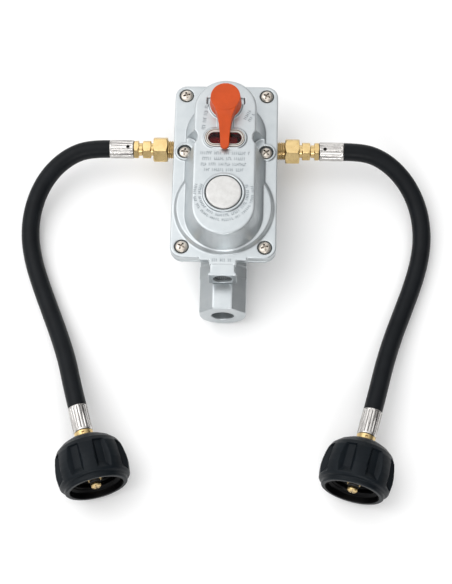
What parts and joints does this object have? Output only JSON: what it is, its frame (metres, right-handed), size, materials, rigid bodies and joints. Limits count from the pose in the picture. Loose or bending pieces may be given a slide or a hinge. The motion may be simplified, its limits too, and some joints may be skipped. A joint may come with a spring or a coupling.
{
  "type": "gas regulator with hoses",
  "caption": "Automatic changeover gas regulator with a swinging selector lever, a supply indicator window, and a short hose to each cylinder ending in a hand-tightened coupling nut.",
  "frame": {"origin": "on the surface the regulator lies on, under the middle of the regulator's own footprint (its body, outlet and inlet fittings, without the hoses)", "axes": "+Z out of the regulator's front face, up as it lies; -Y along the gas outlet; -X towards the left hose's inlet"},
  "size_m": [0.3134, 0.3133, 0.087],
  "materials": {
    "casting_paint": "satin silver-grey paint on an aluminium die casting",
    "gasket_rubber": "matt grey sheet",
    "zinc_steel": "zinc-plated, slightly yellow",
    "cap_plastic": "off-white satin moulding",
    "screw_plastic": "grey moulding",
    "spring_steel": "bright spring wire",
    "diaphragm_rubber": "fabric-backed rubber",
    "plate_steel": "plain pressed steel",
    "brass": "machined brass",
    "seal_rubber": "black nitrile",
    "lever_plastic": "orange moulding, slightly glossy",
    "bezel_plastic": "cream moulding",
    "lens_plastic": "clear moulding",
    "indicator_red": "red moulding",
    "indicator_white": "white moulding",
    "screen_steel": "woven wire",
    "plated_steel": "nickel-plated, crimped",
    "hose_rubber": "smooth black cover",
    "nut_plastic": "black moulding, slightly sheened",
    "bushing_plastic": "dark moulding"
  },
  "bodies": {
    "regulator": {"adjuster_cap": "cap_plastic", "adjuster_screw": "screw_plastic", "body_gasket": "gasket_rubber", "cover_screws": "zinc_steel", "first_stage_diaphragm_left": "diaphragm_rubber", "first_stage_diaphragm_right": "diaphragm_rubber", "first_stage_orifice_left": "brass", "first_stage_orifice_right": "brass", "first_stage_spring_left": "spring_steel", "first_stage_spring_right": "spring_steel", "flare_nut_left": "brass", "flare_nut_right": "brass", "front_bonnet": "casting_paint", "hose_left": "hose_rubber", "hose_right": "hose_rubber", "hose_stem_left": "brass", "hose_stem_right": "brass", "indicator_pin": "spring_steel", "inlet_adapter_left": "brass", "inlet_adapter_right": "brass", "lever_pin": "spring_steel", "poppet_spring_left": "spring_steel", "poppet_spring_right": "spring_steel", "probe_seal_left": "seal_rubber", "probe_seal_right": "seal_rubber", "rear_body": "casting_paint", "regulator_ferrule_left": "plated_steel", "regulator_ferrule_right": "plated_steel", "second_stage_diaphragm": "diaphragm_rubber", "second_stage_orifice": "brass", "second_stage_spring": "spring_steel", "spring_guide": "screw_plastic", "tank_ferrule_left": "plated_steel", "tank_ferrule_right": "plated_steel", "tank_nipple_left": "brass", "tank_nipple_right": "brass", "tank_probe_left": "brass", "tank_probe_right": "brass", "vent_screen": "screen_steel", "window_bezel": "bezel_plastic", "window_lens": "lens_plastic"},
    "selector": {"selector_lever": "lever_plastic", "selector_shaft": "plate_steel", "selector_seal": "seal_rubber"},
    "second_plate": {"diaphragm_plate": "plate_steel", "diaphragm_stem": "brass"},
    "second_lever": {"second_stage_lever": "plate_steel"},
    "second_valve": {"second_stage_valve": "seal_rubber"},
    "indicator_rack": {"indicator_plunger": "indicator_white"},
    "indicator_drum_body": {"indicator_drum": "indicator_red"},
    "seat_left": {"spring_seat_left": "screw_plastic"},
    "first_left": {"first_stage_stem_left": "brass"},
    "nut_left": {"handwheel_left": "nut_plastic", "thermal_bushing_left": "bushing_plastic"},
    "poppet_left": {"flow_poppet_left": "brass"},
    "seat_right": {"spring_seat_right": "screw_plastic"},
    "first_right": {"first_stage_stem_right": "brass"},
    "nut_right": {"handwheel_right": "nut_plastic", "thermal_bushing_right": "bushing_plastic"},
    "poppet_right": {"flow_poppet_right": "brass"}
  },
  "joints": [
    {"name": "selector_turn", "type": "hinge", "parent": "regulator", "child": "selector", "pos_m": [0, 0.0604, 0.08], "axis": [0, 0, 1], "range_deg": [-90, 90]},
    {"name": "second_stage_travel", "type": "slide", "parent": "regulator", "child": "second_plate", "axis": [0, 0, 1], "range_m": [-0.0012, 0.0012], "stiffness_N_per_m": 3000, "deforming": ["second_stage_spring", "second_stage_diaphragm"]},
    {"name": "second_lever_turn", "type": "hinge", "parent": "regulator", "child": "second_lever", "pos_m": [0, 0.01, 0.02], "axis": [1, 0, 0], "range_deg": [-3.5, 3.5]},
    {"name": "second_valve_travel", "type": "slide", "parent": "regulator", "child": "second_valve", "axis": [0, 1, 0], "range_m": [-0.0004, 0.0004]},
    {"name": "indicator_travel", "type": "slide", "parent": "regulator", "child": "indicator_rack", "axis": [0, 0, 1], "range_m": [0, 0.0039], "stiffness_N_per_m": 300},
    {"name": "indicator_turn", "type": "hinge", "parent": "regulator", "child": "indicator_drum_body", "pos_m": [0, 0.033, 0.062], "axis": [1, 0, 0], "range_deg": [-90, 0]},
    {"name": "spring_seat_left_travel", "type": "slide", "parent": "regulator", "child": "seat_left", "axis": [0, 0, 1], "range_m": [-0.001, 0.001]},
    {"name": "first_stage_left_travel", "type": "slide", "parent": "regulator", "child": "first_left", "axis": [0, 0, 1], "range_m": [-0.0008, 0.0008], "stiffness_N_per_m": 2000, "deforming": ["first_stage_spring_left", "first_stage_diaphragm_left"]},
    {"name": "nut_left_spin", "type": "hinge", "parent": "regulator", "child": "nut_left", "pos_m": [-0.0857, -0.2202, 0.028], "axis": [0.2841, -0.9531, 0.1045], "continuous": true},
    {"name": "poppet_left_travel", "type": "slide", "parent": "regulator", "child": "poppet_left", "axis": [-0.2841, 0.9531, -0.1045], "range_m": [0, 0.0028], "stiffness_N_per_m": 200},
    {"name": "spring_seat_right_travel", "type": "slide", "parent": "regulator", "child": "seat_right", "axis": [0, 0, 1], "range_m": [-0.001, 0.001]},
    {"name": "first_stage_right_travel", "type": "slide", "parent": "regulator", "child": "first_right", "axis": [0, 0, 1], "range_m": [-0.0008, 0.0008], "stiffness_N_per_m": 2000, "deforming": ["first_stage_spring_right", "first_stage_diaphragm_right"]},
    {"name": "nut_right_spin", "type": "hinge", "parent": "regulator", "child": "nut_right", "pos_m": [0.0946, -0.2198, 0.028], "axis": [-0.2507, -0.9624, 0.1045], "continuous": true},
    {"name": "poppet_right_travel", "type": "slide", "parent": "regulator", "child": "poppet_right", "axis": [0.2507, 0.9624, -0.1045], "range_m": [0, 0.0028], "stiffness_N_per_m": 200}
  ],
  "couplings": [
    {"joint": "second_lever_turn", "follows": "second_stage_travel", "rad_per_m": -48.08},
    {"joint": "second_valve_travel", "follows": "second_stage_travel", "ratio": 0.2885},
    {"joint": "indicator_turn", "follows": "indicator_travel", "rad_per_m": -400},
    {"joint": "spring_seat_left_travel", "follows": "selector_turn", "m_per_rad": 0.0006366},
    {"joint": "spring_seat_right_travel", "follows": "selector_turn", "m_per_rad": -0.0006366}
  ]
}
